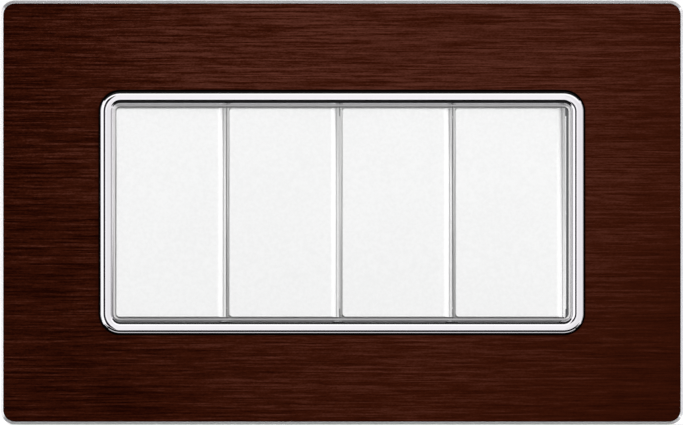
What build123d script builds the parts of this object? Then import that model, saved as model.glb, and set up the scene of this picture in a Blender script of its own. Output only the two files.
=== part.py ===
from build123d import *
import math
import os

os.makedirs("parts", exist_ok=True)

# A four-module switch plate on its mounting frame. +X runs right, +Z up and +Y into the wall.
# The origin is the middle of the plate on the wall's surface, and "height" is distance out of the wall.

# Driving dimensions of the cover, in millimetres
plate_width = 145.0
plate_height = 90.0
plate_corner = 3.1
sheet_thickness = 1.5
edge_bevel = 0.65
deck_height = 7.0
deck_thickness = 1.8
skirt_inset = 0.6
skirt_wall = 2.0
rib_thickness = 1.2
rib_count = 4
pry_width = 12.0
pry_depth = 1.4
hook_width = 9.0
hook_thickness = 1.4
hook_barb = 0.8
hook_ledge = 1.5
hook_spread_z = 52.0

# Chrome ring
ring_band = 3.55
bead_rise = 1.22
bead_foot = 0.25
lip_width = 0.4
lip_drop = 0.2
lip_thickness = 0.4
lip_overhang = 0.45
ring_corner = 1.1
ring_skirt_wall = 1.3
ring_skirt_depth = 4.3
ring_barb = 0.5
ring_barb_width = 9.0
ring_barb_spread = 56.0

# Mounting frame and its screws
frame_front = 3.0
frame_stand = 0.4
pad_width = 3.0
pad_length = 36.0
frame_margin = 4.0
frame_corner = 5.0
fixing_margin = 12.0
screw_radius = 1.75
screw_length = 25.0
screw_neck_radius = 1.4
screw_neck_reach = 0.5
screw_head_radius = 3.3
screw_head_height = 1.9
screw_slot_width = 1.0
screw_slot_travel = 2.4
screw_seat_depth = 1.6
pocket_depth = 1.8
pocket_length = 38.0
rail_margin = 2.5

# Switch modules
module_count = 4
module_pitch = 24.0
row_offset = 0.45
collar_height = 45.6
flange_lap = 2.5
flange_thickness = 1.4
rim_thickness = 0.35
rim_bevel = 0.25
body_depth = 22.0
side_wall = 1.3
end_wall = 1.3
deck_front = 1.6
inner_deck_thickness = 1.2
latch_width = 7.0
latch_catch = 0.7
latch_ramp = 2.6
latch_slot = 0.8
latch_slot_depth = 11.0
nub_width = 6.0
nub_height = 1.3
nub_reach = 0.8

# Rocker and its pivot
rocker_tilt = 2.5
face_height = 8.4
pivot_height = 4.4
rocker_skin = 1.5
rocker_skirt = 2.4
rocker_wall = 1.2
right_round = 1.35
left_bevel = 0.15
end_bevel = 0.2
key_corner = 0.6
rocker_drop = 0.15
edge_strip = 0.5
edge_drop = 0.9
groove_width = 0.12
groove_depth = 0.5
pin_radius = 1.2
boss_length = 6.0
boss_height = 5.6
lug_thickness = 1.2
lug_length = 5.0
tube_wall = 0.8
tube_reach = 5.4

# Plunger and spring
plunger_size = 3.4
plunger_length = 7.6
nose_length = 1.3
nose_width = 0.8
coil_wire = 0.4
coil_radius = 1.3
coil_turns = 2
coil_sides = 6

# Contacts and terminals
blade_tilt = 7.0
fulcrum_height = -7.0
knife_rise = 0.4
knife_edge = 0.5
knife_foot = 1.6
blade_length = 17.0
blade_width = 5.0
blade_thickness = 0.8
blade_stand = 0.3
tip_place = 7.0
moving_tip_size = 2.8
moving_tip_height = 0.5
fixed_tip_size = 3.2
strip_thickness = 0.8
strip_width = 6.0
strip_height = -9.0
block_size = 7.0
block_height = 8.0
block_margin = 1.5
wire_size_max = 3.6
wire_height = -12.0
clamp_screw_radius = 1.75
clamp_screw_length = 4.2
clamp_slot = 0.7
driver_size = 4.0
base_plate = 1.6
pocket_wall = 1.1
post_length = 2.4

# Clearances
ring_gap = 0.15
window_gap = 0.2
module_gap = 0.1
frame_gap = 0.2
lug_gap = 0.25
right_gap = 0.08
left_gap = 0.1
end_gap = 0.3
lip_gap = 0.15
pin_gap = 0.05
slide_gap = 0.1
fulcrum_gap = 0.1
tip_gap = 0.12
base_gap = 0.1
block_gap = 0.05
hook_gap = 0.3
catch_gap = 0.1
entry_gap = 0.15
tube_gap = 0.3
screw_gap = 0.35

# Heights out of the wall
sheet_front = deck_height + sheet_thickness
deck_back = deck_height - deck_thickness
flange_front = frame_front + flange_thickness
inner_deck_back = deck_front - inner_deck_thickness
base_front = base_plate - body_depth
block_back = strip_height - block_height
rim_front = sheet_front - lip_drop - lip_thickness - lip_gap

# Sizes that follow from the modules
row_width = module_count * module_pitch
collar_width = module_pitch - module_gap
body_height = collar_height - 2 * flange_lap
body_width = collar_width - frame_gap
cavity_width = body_width - 2 * side_wall
cavity_height = body_height - 2 * end_wall
block_place = cavity_height / 2 - block_margin - block_size / 2
rocker_right = collar_width / 2 - right_gap
rocker_left = collar_width / 2 - rim_thickness - left_gap
rocker_width = rocker_right + rocker_left
rocker_shift = (rocker_right - rocker_left) / 2
ring_inside_width = row_width - module_gap + 2 * (row_offset + ring_gap)
ring_inside_height = collar_height + 2 * ring_gap
ring_open_width = ring_inside_width - 2 * lip_overhang
ring_open_height = ring_inside_height - 2 * lip_overhang
rocker_length = ring_open_height - 2 * end_gap
skirt_outside_width = ring_inside_width + 2 * ring_skirt_wall
skirt_outside_height = ring_inside_height + 2 * ring_skirt_wall
window_width = skirt_outside_width + 2 * window_gap
window_height = skirt_outside_height + 2 * window_gap
bay_width = row_width + 2 * frame_gap
bay_height = body_height + 2 * frame_gap
fixing_centres = row_width + fixing_margin

# Sizes that follow from the plate
skirt_width = plate_width - 2 * skirt_inset
skirt_height = plate_height - 2 * skirt_inset
skirt_corner = plate_corner - skirt_inset
hollow_width = skirt_width - 2 * skirt_wall
hollow_height = skirt_height - 2 * skirt_wall
frame_width = hollow_width - 2 * frame_margin
frame_height = hollow_height - 2 * frame_margin
hook_place = frame_width / 2 - frame_margin


def lean(tilt):
    """Direction out of a tilted piece's face: a positive tilt has its top pushed in."""
    return (0, -math.cos(math.radians(tilt)), math.sin(math.radians(tilt)))


def rise(tilt):
    """Direction up a tilted piece's face."""
    return (0, math.sin(math.radians(tilt)), math.cos(math.radians(tilt)))


def tilted_face(height, tilt):
    """Plane through an axis across the switch, facing out of the tilted piece."""
    return Plane(origin=(0, -height, 0), x_dir=(1, 0, 0), z_dir=lean(tilt))


def tilted_end(height, tilt):
    """Plane across that axis, seen from the piece's lower end: local y runs out of it."""
    return Plane(origin=(0, -height, 0), x_dir=(1, 0, 0), z_dir=-Vector(rise(tilt)))


def tilted_side(height, tilt):
    """Plane across that axis: local x runs up the tilted piece and local y out of it."""
    return Plane(origin=(0, -height, 0), x_dir=rise(tilt), z_dir=(1, 0, 0))


# Face plate: a sheet with a polished bevel round its front edge
with BuildPart() as face_plate:
    with BuildSketch(Plane.XZ.offset(deck_height)):
        RectangleRounded(plate_width, plate_height, plate_corner)
        Rectangle(window_width, window_height, mode=Mode.SUBTRACT)
    extrude(amount=sheet_thickness)
    front_face = face_plate.faces().sort_by(Axis.Y)[0]
    chamfer(front_face.outer_wire().edges(), edge_bevel)

# Carrier: a moulded cover with a skirt to the wall, ribs, hooks and a pry notch
rib_back = frame_front + hook_gap
rib_length = (hollow_height - window_height) / 2 - 2 * ring_barb - hook_gap
rib_place = hollow_height / 2 - rib_length / 2
hook_tip = hook_ledge - hook_barb - catch_gap
with BuildPart() as plate_carrier:
    with BuildSketch(Plane.XZ):
        RectangleRounded(skirt_width, skirt_height, skirt_corner)
    extrude(amount=deck_height)
    with BuildSketch(Plane.XZ):
        Rectangle(hollow_width, hollow_height)
    extrude(amount=deck_back, mode=Mode.SUBTRACT)
    with BuildSketch(Plane.XZ.offset(deck_back)):
        Rectangle(window_width, window_height)
    extrude(amount=deck_thickness, mode=Mode.SUBTRACT)
    with BuildSketch(Plane.XZ.offset(rib_back)):
        with GridLocations(row_width / rib_count, 2 * rib_place, rib_count, 2):
            Rectangle(rib_thickness, rib_length)
    extrude(amount=deck_back - rib_back)
    with BuildSketch(Plane.XZ.offset(hook_tip)):
        with GridLocations(2 * hook_place, hook_spread_z, 2, 2):
            Rectangle(hook_thickness, hook_width)
    extrude(amount=deck_back - hook_tip)
    with BuildSketch(Plane.XY.offset((hook_spread_z - hook_width) / 2)):
        with BuildLine():
            barb_root = hook_place + hook_thickness / 2
            Polyline(
                (barb_root, -hook_tip),
                (barb_root + hook_barb, -hook_tip - hook_barb / 2),
                (barb_root + hook_barb, -hook_ledge + catch_gap),
                (barb_root, -hook_ledge + catch_gap),
                close=True,
            )
        make_face()
        mirror(about=Plane.YZ)
    barbs = extrude(amount=hook_width)
    mirror(barbs, about=Plane.XY)
    with BuildSketch(Plane.XZ):
        with Locations((0, -skirt_height / 2 + skirt_wall / 2)):
            Rectangle(pry_width, 2 * skirt_wall)
    extrude(amount=pry_depth, mode=Mode.SUBTRACT)

# Ring: a bead and lip carried round the opening, on a skirt that goes through the window
bead_middle = (lip_width + ring_band) / 2
ring_back = sheet_front - ring_skirt_depth
skirt_outside = lip_overhang + ring_skirt_wall
with BuildPart() as bezel_ring:
    with BuildLine(Plane.XZ.offset(sheet_front)) as opening:
        FilletPolyline(
            (ring_open_width / 2, -ring_open_height / 2),
            (ring_open_width / 2, ring_open_height / 2),
            (-ring_open_width / 2, ring_open_height / 2),
            (-ring_open_width / 2, -ring_open_height / 2),
            radius=ring_corner,
            close=True,
        )
    with BuildSketch(Plane.XY.shift_origin((ring_open_width / 2, -sheet_front, 0))):
        with BuildLine():
            Polyline(
                (skirt_outside, 0),
                (skirt_outside, lip_drop + lip_thickness),
                (0, lip_drop + lip_thickness),
                (0, lip_drop),
                (lip_width, lip_drop),
                (lip_width, -bead_foot),
            )
            ThreePointArc(
                (lip_width, -bead_foot),
                (bead_middle, -bead_rise),
                (ring_band, -bead_foot),
            )
            Polyline((ring_band, -bead_foot), (ring_band, 0), (skirt_outside, 0))
        make_face()
    sweep(path=opening.line)
    with BuildSketch(Plane.XZ.offset(ring_back)):
        Rectangle(skirt_outside_width, skirt_outside_height)
        Rectangle(ring_inside_width, ring_inside_height, mode=Mode.SUBTRACT)
    extrude(amount=ring_skirt_depth - lip_drop)
    with BuildSketch(Plane.YZ.offset((ring_barb_spread - ring_barb_width) / 2)):
        with BuildLine():
            barb_root = skirt_outside_height / 2
            Polyline(
                (-ring_back, barb_root),
                (-deck_back + catch_gap, barb_root),
                (-deck_back + catch_gap, barb_root + window_gap + ring_barb),
                close=True,
            )
        make_face()
    barbs = extrude(amount=ring_barb_width)
    barbs += mirror(barbs, about=Plane.YZ)
    mirror(barbs, about=Plane.XY)

# Mounting frame: screwed to the wall box on four pads, with one bay that the switches snap into
rail_width = (frame_height - bay_height) / 2
seat_width = (collar_height - bay_height) / 2 + rail_margin
pocket_place = (bay_height / 2 + seat_width + frame_height / 2 - rail_margin) / 2
seat_radius = screw_head_radius + screw_gap
slot_width = 2 * (screw_radius + screw_gap)
with BuildPart() as grid_frame:
    with BuildSketch(Plane.XZ.offset(frame_stand)) as plan:
        Rectangle(frame_width, frame_height)
        chamfer(plan.vertices(), frame_corner)
        with Locations((-row_offset, 0)):
            Rectangle(bay_width, bay_height, mode=Mode.SUBTRACT)
        with GridLocations(2 * hook_place, hook_spread_z, 2, 2):
            Rectangle(hook_thickness + 2 * hook_gap, hook_width + 2 * hook_gap, mode=Mode.SUBTRACT)
    extrude(amount=frame_front - frame_stand)
    with BuildSketch(Plane.XZ) as slots:
        with GridLocations(fixing_centres, 0, 2, 1):
            Rectangle(screw_slot_travel + slot_width, slot_width)
        chamfer(slots.vertices(), slot_width / 4)
    extrude(amount=frame_front, mode=Mode.SUBTRACT)
    with BuildSketch(Plane.XZ):
        with GridLocations(frame_width - pad_width, 0, 2, 1):
            Rectangle(pad_width, pad_length)
        with GridLocations(0, frame_height - pad_width, 1, 2):
            Rectangle(pad_length, pad_width)
    extrude(amount=frame_stand)
    with BuildSketch(Plane.XZ):
        with GridLocations(2 * (hook_place + hook_thickness / 2), hook_spread_z, 2, 2):
            Rectangle(2 * (hook_barb + hook_gap), hook_width + 2 * hook_gap)
    extrude(amount=hook_ledge, mode=Mode.SUBTRACT)
    with BuildSketch(Plane.XZ.offset(frame_front)):
        with GridLocations(fixing_centres, 0, 2, 1):
            Rectangle(screw_slot_travel + 2 * seat_radius, 2 * seat_radius)
    extrude(amount=-screw_seat_depth, mode=Mode.SUBTRACT)
    with BuildSketch(Plane.XZ.offset(frame_front)):
        with GridLocations(row_width / 2, 2 * pocket_place, 2, 2):
            Rectangle(pocket_length, rail_width - seat_width - rail_margin)
    extrude(amount=-pocket_depth, mode=Mode.SUBTRACT)

# Box screws: two slotted heads in the frame's seats, with a thin neck through each slot
seat_height = frame_front - screw_seat_depth
neck_length = seat_height + screw_neck_reach
with BuildPart() as box_screws:
    with BuildSketch(Plane.XZ.offset(seat_height)):
        with GridLocations(fixing_centres, 0, 2, 1):
            Circle(screw_neck_radius)
    extrude(amount=-neck_length)
    with BuildSketch(Plane.XZ.offset(-screw_neck_reach)):
        with GridLocations(fixing_centres, 0, 2, 1):
            Circle(screw_radius)
    extrude(amount=neck_length - screw_length)
    with BuildSketch(Plane.XZ.offset(seat_height)):
        with GridLocations(fixing_centres, 0, 2, 1):
            Circle(screw_head_radius)
    extrude(amount=screw_head_height)
    with BuildSketch(Plane.XZ.offset(seat_height + screw_head_height)):
        with GridLocations(fixing_centres, 0, 2, 1):
            Rectangle(screw_slot_width, 2 * screw_head_radius)
    extrude(amount=-screw_head_height / 2, mode=Mode.SUBTRACT)

# Switch housing: collar and rim in front of the frame, a body behind it that snaps into the bay
hole_radius = pin_radius + pin_gap
entry_size = wire_size_max + 2 * entry_gap
boss_wall = (collar_width - cavity_width) / 2
catch_height = frame_stand - catch_gap
bore_size = plunger_size + 2 * slide_gap
tube_size = bore_size + 2 * tube_wall
tube_swing = tube_reach * math.sin(math.radians(rocker_tilt))
with BuildPart() as housing:
    with BuildSketch(Plane.XZ.offset(frame_front)):
        Rectangle(collar_width, collar_height)
    extrude(amount=flange_thickness)
    with BuildSketch(Plane.XZ.offset(flange_front)):
        with Locations(((rim_thickness - collar_width) / 2, 0)):
            Rectangle(rim_thickness, rocker_length)
    extrude(amount=rim_front - flange_front)
    rim_edges = housing.edges().filter_by(Axis.Z).group_by(Axis.Y)[0]
    chamfer(rim_edges.sort_by(Axis.X)[0], rim_bevel)
    with BuildSketch(Plane.XZ.offset(frame_front)):
        Rectangle(body_width, body_height)
    extrude(amount=-frame_front - body_depth)
    with BuildSketch(Plane.XZ.offset(-body_depth)):
        Rectangle(cavity_width, cavity_height)
    extrude(amount=body_depth + inner_deck_back, mode=Mode.SUBTRACT)
    with BuildSketch(Plane.XZ.offset(deck_front)):
        Rectangle(cavity_width, cavity_height)
    extrude(amount=flange_front - deck_front, mode=Mode.SUBTRACT)
    with BuildSketch(Plane.XZ.offset(flange_front)):
        with GridLocations(collar_width - boss_wall, 0, 2, 1):
            Rectangle(boss_wall, boss_length)
    extrude(amount=boss_height - flange_front)
    with BuildSketch(Plane.XZ.offset(inner_deck_back)):
        Rectangle(tube_size + 2 * tube_gap, tube_size + 2 * (tube_gap + tube_swing))
    extrude(amount=inner_deck_thickness, mode=Mode.SUBTRACT)
    with BuildSketch(Plane.YZ.offset(-collar_width / 2)):
        with Locations((-pivot_height, 0)):
            Circle(hole_radius)
    extrude(amount=collar_width, mode=Mode.SUBTRACT)
    with BuildSketch(Plane.XY.offset(-body_height / 2)):
        with Locations((0, -wire_height)):
            Rectangle(entry_size, entry_size)
    extrude(amount=body_height, mode=Mode.SUBTRACT)
    with BuildSketch(Plane.XZ.offset(catch_height)):
        with GridLocations(latch_width + latch_slot, body_height - end_wall, 2, 2):
            Rectangle(latch_slot, 2 * end_wall)
    extrude(amount=-latch_slot_depth, mode=Mode.SUBTRACT)
    with BuildSketch(Plane.YZ.offset(-latch_width / 2)):
        with BuildLine():
            Polyline(
                (-catch_height, body_height / 2),
                (-catch_height, body_height / 2 + latch_catch),
                (latch_ramp - catch_height, body_height / 2),
                close=True,
            )
        make_face()
    catches = extrude(amount=latch_width)
    mirror(catches, about=Plane.XY)
    with BuildSketch(Plane.XZ.offset(-body_depth + base_gap)):
        with GridLocations(0, body_height - end_wall, 1, 2):
            Rectangle(nub_width + 2 * base_gap, 2 * end_wall)
    extrude(amount=nub_height + 2 * base_gap, mode=Mode.SUBTRACT)

# Base: closes the back of the housing, with a pocket for each terminal and posts under the strips
base_width = cavity_width - 2 * base_gap
base_height = cavity_height - 2 * base_gap
pocket_size = block_size + 2 * block_gap
tower_outside = base_height / 2
tower_inside = block_place - pocket_size / 2
tower_length = tower_outside - tower_inside
tower_place = (tower_outside + tower_inside) / 2
tower_front = wire_height + entry_size / 2
with BuildPart() as base:
    with BuildSketch(Plane.XZ.offset(-body_depth)):
        Rectangle(base_width, base_height)
    extrude(amount=base_plate)
    with BuildSketch(Plane.XZ.offset(base_front)):
        with GridLocations(0, 2 * tower_place, 1, 2):
            Rectangle(pocket_size + 2 * pocket_wall, tower_length)
    extrude(amount=tower_front - base_front)
    with BuildSketch(Plane.XZ.offset(block_back)):
        with GridLocations(0, 2 * block_place, 1, 2):
            Rectangle(pocket_size, pocket_size)
    extrude(amount=tower_front - block_back, mode=Mode.SUBTRACT)
    with BuildSketch(Plane.XZ.offset(-body_depth)):
        with GridLocations(0, 2 * block_place, 1, 2):
            Rectangle(driver_size, driver_size)
    extrude(amount=body_depth + block_back, mode=Mode.SUBTRACT)
    with BuildSketch(Plane.XZ.offset(wire_height - entry_size / 2)):
        with GridLocations(0, 2 * (block_place + block_size), 1, 2):
            Rectangle(entry_size, 2 * block_size)
    extrude(amount=entry_size, mode=Mode.SUBTRACT)
    with BuildSketch(Plane.XZ.offset(base_front)):
        Rectangle(strip_width, post_length)
        with Locations((0, tip_place)):
            Rectangle(strip_width, post_length)
    extrude(amount=strip_height - strip_thickness - base_front)
    with BuildSketch(Plane.XZ.offset(-body_depth + 2 * base_gap)):
        with GridLocations(0, base_height + nub_reach, 1, 2):
            Rectangle(nub_width, nub_reach)
    extrude(amount=nub_height)

# Rocker: a hollow key on two pins, with a grooved edge strip and a square tube for the plunger
face_reach = face_height - pivot_height
skirt_back = face_reach - rocker_skirt
skin_back = face_reach - rocker_skin
face_right = rocker_right - edge_strip - groove_width
edge_front = face_reach - edge_drop
lug_outside = cavity_width / 2 - lug_gap
pin_end = collar_width / 2 - lug_gap
rocker_face = tilted_face(pivot_height, rocker_tilt)
rocker_side = tilted_side(pivot_height, rocker_tilt)
rocker_end = tilted_end(pivot_height, rocker_tilt)
key_middle = rocker_side.from_local_coords((-rocker_drop, 0, 0))
key_face = rocker_face.shift_origin(key_middle)
key_side = rocker_side.shift_origin(key_middle)
with BuildPart() as rocker:
    with BuildSketch(rocker_end.offset(rocker_drop)) as key:
        with Locations(((face_right - rocker_left) / 2, face_reach - rocker_skirt / 2)):
            Rectangle(face_right + rocker_left, rocker_skirt)
        chamfer(key.vertices().group_by(Axis.Y)[-1].sort_by(Axis.X)[0], left_bevel)
        fillet(key.vertices().group_by(Axis.Y)[-1].sort_by(Axis.X)[-1], right_round)
        with Locations(((face_right + rocker_right) / 2, (skirt_back + edge_front) / 2)):
            Rectangle(rocker_right - face_right, edge_front - skirt_back)
        with Locations((face_right + groove_width / 2, edge_front)):
            Rectangle(groove_width, 2 * groove_depth, mode=Mode.SUBTRACT)
    extrude(amount=rocker_length / 2, both=True)
    with BuildSketch(key_face.offset(skirt_back)) as outline:
        with Locations((rocker_shift, 0)):
            Rectangle(rocker_width, rocker_length)
        chamfer(outline.vertices().group_by(Axis.X)[0], key_corner)
    extrude(amount=rocker_skirt, mode=Mode.INTERSECT)
    with BuildSketch(key_side):
        with BuildLine():
            Polyline(
                (rocker_length / 2, face_reach),
                (rocker_length / 2 - end_bevel, face_reach),
                (rocker_length / 2, face_reach - end_bevel),
                close=True,
            )
        make_face()
        mirror(about=Plane.YZ)
    extrude(amount=rocker_width, both=True, mode=Mode.SUBTRACT)
    with BuildSketch(key_face.offset(skirt_back)):
        with Locations((rocker_shift, 0)):
            Rectangle(rocker_width - 2 * rocker_wall, rocker_length - 2 * rocker_wall)
    extrude(amount=rocker_skirt - rocker_skin, mode=Mode.SUBTRACT)
    with BuildSketch(rocker_face.offset(-tube_reach)):
        Rectangle(tube_size, tube_size)
    extrude(amount=tube_reach + skin_back)
    with BuildSketch(rocker_face.offset(-tube_reach)):
        Rectangle(bore_size, bore_size)
    extrude(amount=tube_reach + skin_back, mode=Mode.SUBTRACT)
    with BuildSketch(rocker_side.offset(-lug_outside)):
        with BuildLine():
            Polyline(
                (-lug_length / 2, skin_back),
                (-lug_length / 2, -pin_radius),
                (-pin_radius, -lug_length / 2),
                (pin_radius, -lug_length / 2),
                (lug_length / 2, -pin_radius),
                (lug_length / 2, skin_back),
                close=True,
            )
        make_face()
    lug = extrude(amount=lug_thickness)
    with BuildSketch(rocker_side.offset(-pin_end)):
        Circle(pin_radius)
    lug += extrude(amount=pin_end - lug_outside)
    mirror(lug, about=Plane.YZ)

# Plunger: a square pin with a wedge nose that rides on the contact blade
nose_reach = pivot_height - fulcrum_height - blade_stand - blade_thickness - tip_gap
head_front = plunger_length - nose_reach
with BuildPart() as plunger:
    with BuildSketch(rocker_side):
        with BuildLine():
            Polyline(
                (-plunger_size / 2, head_front),
                (-plunger_size / 2, nose_length - nose_reach),
                (-nose_width / 2, -nose_reach),
                (nose_width / 2, -nose_reach),
                (plunger_size / 2, nose_length - nose_reach),
                (plunger_size / 2, head_front),
                close=True,
            )
        make_face()
    extrude(amount=plunger_size / 2, both=True)

# Spring: a coil between the plunger and the roof of the rocker's bore
coil_start = head_front + coil_wire / 2 + slide_gap
coil_pitch = (skin_back - slide_gap - coil_wire / 2 - coil_start) / coil_turns
coil_points = []
for step in range(coil_turns * coil_sides + 1):
    turn = 2 * math.pi * step / coil_sides
    climb = coil_pitch * step / coil_sides
    coil_points.append((coil_radius * math.cos(turn), coil_radius * math.sin(turn), climb))
with BuildPart() as spring:
    with BuildLine(rocker_face.offset(coil_start)) as coil:
        Polyline(*coil_points)
    with BuildSketch(Plane(origin=coil.line @ 0, z_dir=coil.line % 0)):
        Rectangle(coil_wire, coil_wire)
    sweep(path=coil.line, transition=Transition.RIGHT)

# Contact blade: a strip that seesaws on a knife edge, with a silver tip under its upper end
blade_face = tilted_face(fulcrum_height, -blade_tilt)
blade_side = tilted_side(fulcrum_height, -blade_tilt)
with BuildPart() as contact_blade:
    with BuildSketch(blade_face.offset(blade_stand)) as strip:
        Rectangle(blade_width, blade_length)
        chamfer(strip.vertices(), blade_width / 4)
    extrude(amount=blade_thickness)
    with BuildSketch(blade_side.offset(-blade_width)):
        with Locations((0, blade_stand)):
            Rectangle(knife_edge + 4 * fulcrum_gap, 2 * (knife_rise + fulcrum_gap - blade_stand))
    extrude(amount=2 * blade_width, mode=Mode.SUBTRACT)

with BuildPart() as moving_tip:
    with BuildSketch(blade_face.offset(blade_stand)):
        with Locations((0, tip_place)):
            Rectangle(moving_tip_size, moving_tip_size)
    extrude(amount=-moving_tip_height)

# Pivot terminal: a clamp block with a square tunnel, a strip, the knife edge and a stop for the blade
clamp_hole_radius = clamp_screw_radius + block_gap
stop_height = fulcrum_height + blade_stand - tip_place * math.sin(math.radians(blade_tilt)) - tip_gap
with BuildPart() as pivot_terminal:
    with BuildSketch(Plane.XZ.offset(block_back)):
        with Locations((0, -block_place)):
            Rectangle(block_size, block_size)
    extrude(amount=block_height)
    with BuildSketch(Plane.XZ.offset(strip_height)):
        with Locations((0, -block_place / 2 + knife_foot / 4)):
            Rectangle(strip_width, block_place + knife_foot / 2)
    extrude(amount=-strip_thickness)
    with BuildSketch(Plane.YZ.offset(-strip_width / 2)):
        with BuildLine():
            Polyline(
                (-strip_height, -knife_foot / 2),
                (-fulcrum_height - knife_rise, -knife_edge / 2),
                (-fulcrum_height - knife_rise, knife_edge / 2),
                (-strip_height, knife_foot / 2),
                close=True,
            )
        make_face()
    extrude(amount=strip_width)
    with BuildSketch(Plane.XZ.offset(strip_height)):
        with Locations((0, -tip_place)):
            Rectangle(blade_width, strip_thickness)
    extrude(amount=stop_height - strip_height)
    with BuildSketch(Plane.XY.offset(-block_place - block_size / 2)):
        with Locations((0, -wire_height)):
            Rectangle(wire_size_max, wire_size_max)
    extrude(amount=block_size, mode=Mode.SUBTRACT)
    with BuildSketch(Plane.XZ.offset(block_back)):
        with Locations((0, -block_place)):
            Circle(clamp_hole_radius)
    extrude(amount=wire_height - block_back, mode=Mode.SUBTRACT)

# Fixed terminal: a clamp block and a strip that carries the fixed contact
strip_end = tip_place - fixed_tip_size / 2
with BuildPart() as fixed_terminal:
    with BuildSketch(Plane.XZ.offset(block_back)):
        with Locations((0, block_place)):
            Rectangle(block_size, block_size)
    extrude(amount=block_height)
    with BuildSketch(Plane.XZ.offset(strip_height)):
        with Locations((0, (strip_end + block_place) / 2)):
            Rectangle(strip_width, block_place - strip_end)
    extrude(amount=-strip_thickness)
    with BuildSketch(Plane.XY.offset(block_place - block_size / 2)):
        with Locations((0, -wire_height)):
            Rectangle(wire_size_max, wire_size_max)
    extrude(amount=block_size, mode=Mode.SUBTRACT)
    with BuildSketch(Plane.XZ.offset(block_back)):
        with Locations((0, block_place)):
            Circle(clamp_hole_radius)
    extrude(amount=wire_height - block_back, mode=Mode.SUBTRACT)

tip_edge = tip_place + moving_tip_size / 2
closed_drop = tip_edge * math.sin(math.radians(blade_tilt)) + moving_tip_height - blade_stand
fixed_tip_front = fulcrum_height - closed_drop - tip_gap
with BuildPart() as fixed_tip:
    with BuildSketch(Plane.XZ.offset(strip_height)):
        with Locations((0, tip_place)):
            Rectangle(fixed_tip_size, fixed_tip_size)
    extrude(amount=fixed_tip_front - strip_height)

# Terminal screws: headless and slotted, backed off so that the wire tunnels are free
clamp_front = wire_height - wire_size_max / 2 - block_gap
with BuildPart() as terminal_screws:
    with BuildSketch(Plane.XZ.offset(clamp_front)):
        with GridLocations(0, 2 * block_place, 1, 2):
            Circle(clamp_screw_radius)
    extrude(amount=-clamp_screw_length)
    with BuildSketch(Plane.XZ.offset(clamp_front - clamp_screw_length)):
        with GridLocations(0, 2 * block_place, 1, 2):
            Rectangle(2 * clamp_screw_radius, clamp_slot)
    extrude(amount=clamp_slot, mode=Mode.SUBTRACT)

# Cover, frame and screws are written once
single_pieces = {
    "face_plate": face_plate,
    "plate_carrier": plate_carrier,
    "bezel_ring": bezel_ring,
    "grid_frame": grid_frame,
    "box_screws": box_screws,
}
for name, piece in single_pieces.items():
    piece.part.label = name
    export_step(piece.part, f"parts/{name}.step")

# Each switch piece is written once for every module in the row
switch_pieces = {
    "housing": housing,
    "base": base,
    "rocker": rocker,
    "plunger": plunger,
    "spring": spring,
    "contact_blade": contact_blade,
    "moving_tip": moving_tip,
    "pivot_terminal": pivot_terminal,
    "fixed_terminal": fixed_terminal,
    "fixed_tip": fixed_tip,
    "terminal_screws": terminal_screws,
}
for place in range(module_count):
    shift = (place - (module_count - 1) / 2) * module_pitch - row_offset
    for name, piece in switch_pieces.items():
        placed = Pos(shift, 0, 0) * piece.part
        placed.label = f"{name}_{place + 1}"
        export_step(placed, f"parts/{placed.label}.step")
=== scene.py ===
"""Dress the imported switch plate: finishes, finer metal pieces, a plain studio and the camera."""

import logging
import math
from dataclasses import dataclass
from enum import Enum
from typing import Any, ClassVar, Iterable, Union

import bpy
import numpy as np
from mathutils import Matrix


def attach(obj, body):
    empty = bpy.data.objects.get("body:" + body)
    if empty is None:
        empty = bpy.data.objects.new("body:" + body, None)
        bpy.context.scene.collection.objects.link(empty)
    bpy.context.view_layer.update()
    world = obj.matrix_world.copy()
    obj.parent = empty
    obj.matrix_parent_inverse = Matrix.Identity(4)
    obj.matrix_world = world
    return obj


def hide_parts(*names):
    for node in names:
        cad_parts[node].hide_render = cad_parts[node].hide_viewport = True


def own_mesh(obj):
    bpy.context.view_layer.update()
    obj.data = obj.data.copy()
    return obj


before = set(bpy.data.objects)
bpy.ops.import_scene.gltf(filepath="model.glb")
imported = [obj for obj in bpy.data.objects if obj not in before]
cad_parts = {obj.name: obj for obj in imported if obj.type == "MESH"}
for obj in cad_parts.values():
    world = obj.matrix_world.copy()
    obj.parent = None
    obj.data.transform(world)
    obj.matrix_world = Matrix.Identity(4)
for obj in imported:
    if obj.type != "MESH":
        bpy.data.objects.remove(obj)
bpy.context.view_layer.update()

log = logging.getLogger("switch_plate")

MM = 0.001
MODULES = (1, 2, 3, 4)
SHEET_FRONT = 8.5 * MM  # The plate's front, out from the wall.
SHARP_DEG = 28.0  # Angle from which an edge stays sharp.
WELD_DISTANCE = 0.0005 * MM
FLAT_WEIGHT = 100  # Keeps the normals of large faces straight.
NOISE_SPAN = (0.3, 0.7)  # Where most values of a noise lie.

Colour = tuple[float, float, float]
Vector = tuple[float, float, float]
WHITE: Colour = (1.0, 1.0, 1.0)
BLACK: Colour = (0.0, 0.0, 0.0)


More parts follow.
